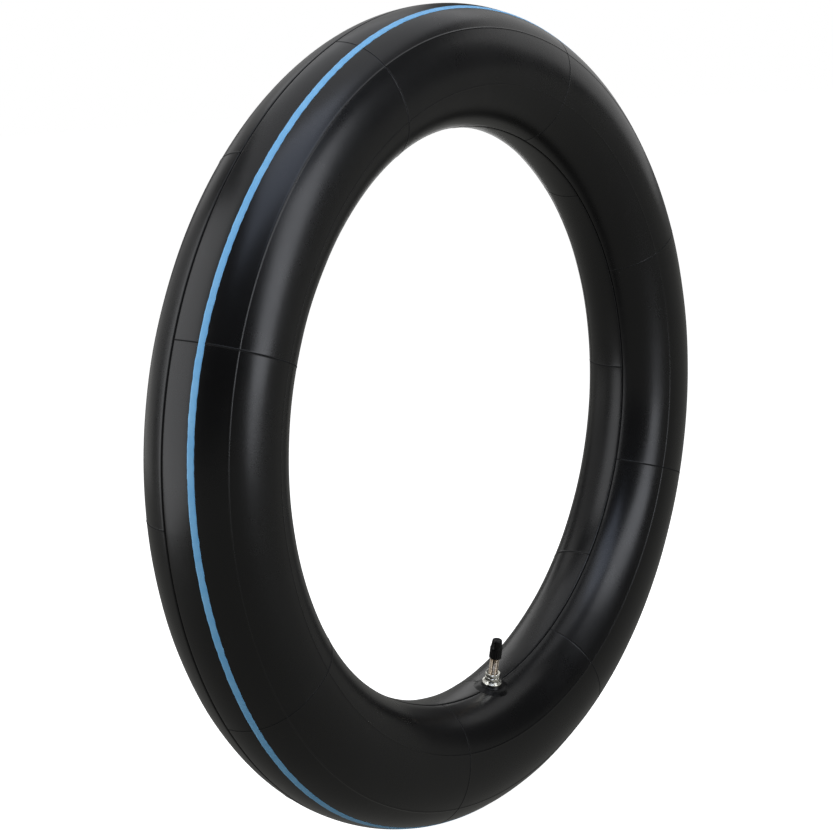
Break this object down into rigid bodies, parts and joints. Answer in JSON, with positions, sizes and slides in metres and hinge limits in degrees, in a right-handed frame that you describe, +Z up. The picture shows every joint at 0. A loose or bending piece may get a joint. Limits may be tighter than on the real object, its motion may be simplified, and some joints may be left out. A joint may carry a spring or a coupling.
{
  "type": "motorcycle inner tube",
  "caption": "Inflated black butyl inner tube with a thin blue guide stripe and a straight threaded metal valve that points into the ring.",
  "frame": {"origin": "centre of the wheel, in the tube's middle plane", "axes": "+Y along the wheel's axle, away from the face with the stripe; +Z up, from the valve's foot towards the wheel's centre"},
  "size_m": [0.65, 0.0922, 0.65],
  "materials": {
    "tube_rubber": "smooth butyl rubber, satin, with fine mould lines",
    "stripe_paint": "matt blue marking paint on rubber",
    "nickel": "bright nickel plate on turned brass, slightly warm",
    "cap_plastic": "moulded black plastic with fine lengthwise ribs",
    "seal_rubber": "moulded black rubber",
    "gasket_plastic": "red fluoropolymer seal ring",
    "brass": "turned brass",
    "spring_steel": "bare spring wire"
  },
  "bodies": {
    "tube": {"tube_body": "tube_rubber", "colour_stripe": "stripe_paint", "valve_base_pad": "tube_rubber", "valve_stem": "nickel"},
    "washer": {"rim_washer": "nickel"},
    "rim_nut": {"rim_nut": "nickel"},
    "lock_nut": {"lock_nut": "nickel"},
    "cap_seal": {"cap_seal": "seal_rubber"},
    "cap": {"valve_cap": "cap_plastic"},
    "core": {"core_barrel": "brass", "core_gasket": "gasket_plastic", "core_spring": "spring_steel"},
    "core_head": {"core_swivel": "brass"},
    "pin": {"core_pin": "brass", "core_spring_seat": "brass", "core_cup": "brass", "core_cup_seal": "seal_rubber"}
  },
  "joints": [
    {"name": "nut_travel", "type": "slide", "parent": "tube", "child": "washer", "axis": [0, -0.1977, 0.9803], "range_m": [0, 0.0127]},
    {"name": "rim_nut_turn", "type": "hinge", "parent": "washer", "child": "rim_nut", "pos_m": [0, -0.00988, -0.22855], "axis": [0, -0.1977, 0.9803], "range_deg": [0, 5760]},
    {"name": "lock_nut_turn", "type": "hinge", "parent": "washer", "child": "lock_nut", "pos_m": [0, -0.00988, -0.22855], "axis": [0, -0.1977, 0.9803], "range_deg": [0, 5760]},
    {"name": "cap_travel", "type": "slide", "parent": "tube", "child": "cap_seal", "axis": [0, -0.1977, 0.9803], "range_m": [0, 0.00794]},
    {"name": "cap_turn", "type": "hinge", "parent": "cap_seal", "child": "cap", "pos_m": [0, -0.00988, -0.22855], "axis": [0, -0.1977, 0.9803], "range_deg": [0, 3600]},
    {"name": "core_travel", "type": "slide", "parent": "tube", "child": "core", "axis": [0, -0.1977, 0.9803], "range_m": [0, 0.00564]},
    {"name": "core_turn", "type": "hinge", "parent": "core", "child": "core_head", "pos_m": [0, -0.00988, -0.22855], "axis": [0, -0.1977, 0.9803], "range_deg": [0, 2880]},
    {"name": "pin_press", "type": "slide", "parent": "core", "child": "pin", "axis": [0, 0.1977, -0.9803], "range_m": [0, 0.0016], "stiffness_N_per_m": 1500, "springref_m": -0.002, "deforming": ["core_spring"]}
  ],
  "couplings": [
    {"joint": "rim_nut_turn", "follows": "nut_travel", "rad_per_m": 7915.8},
    {"joint": "lock_nut_turn", "follows": "nut_travel", "rad_per_m": 7915.8},
    {"joint": "cap_turn", "follows": "cap_travel", "rad_per_m": 7915.8},
    {"joint": "core_turn", "follows": "core_travel", "rad_per_m": 8905.3}
  ]
}
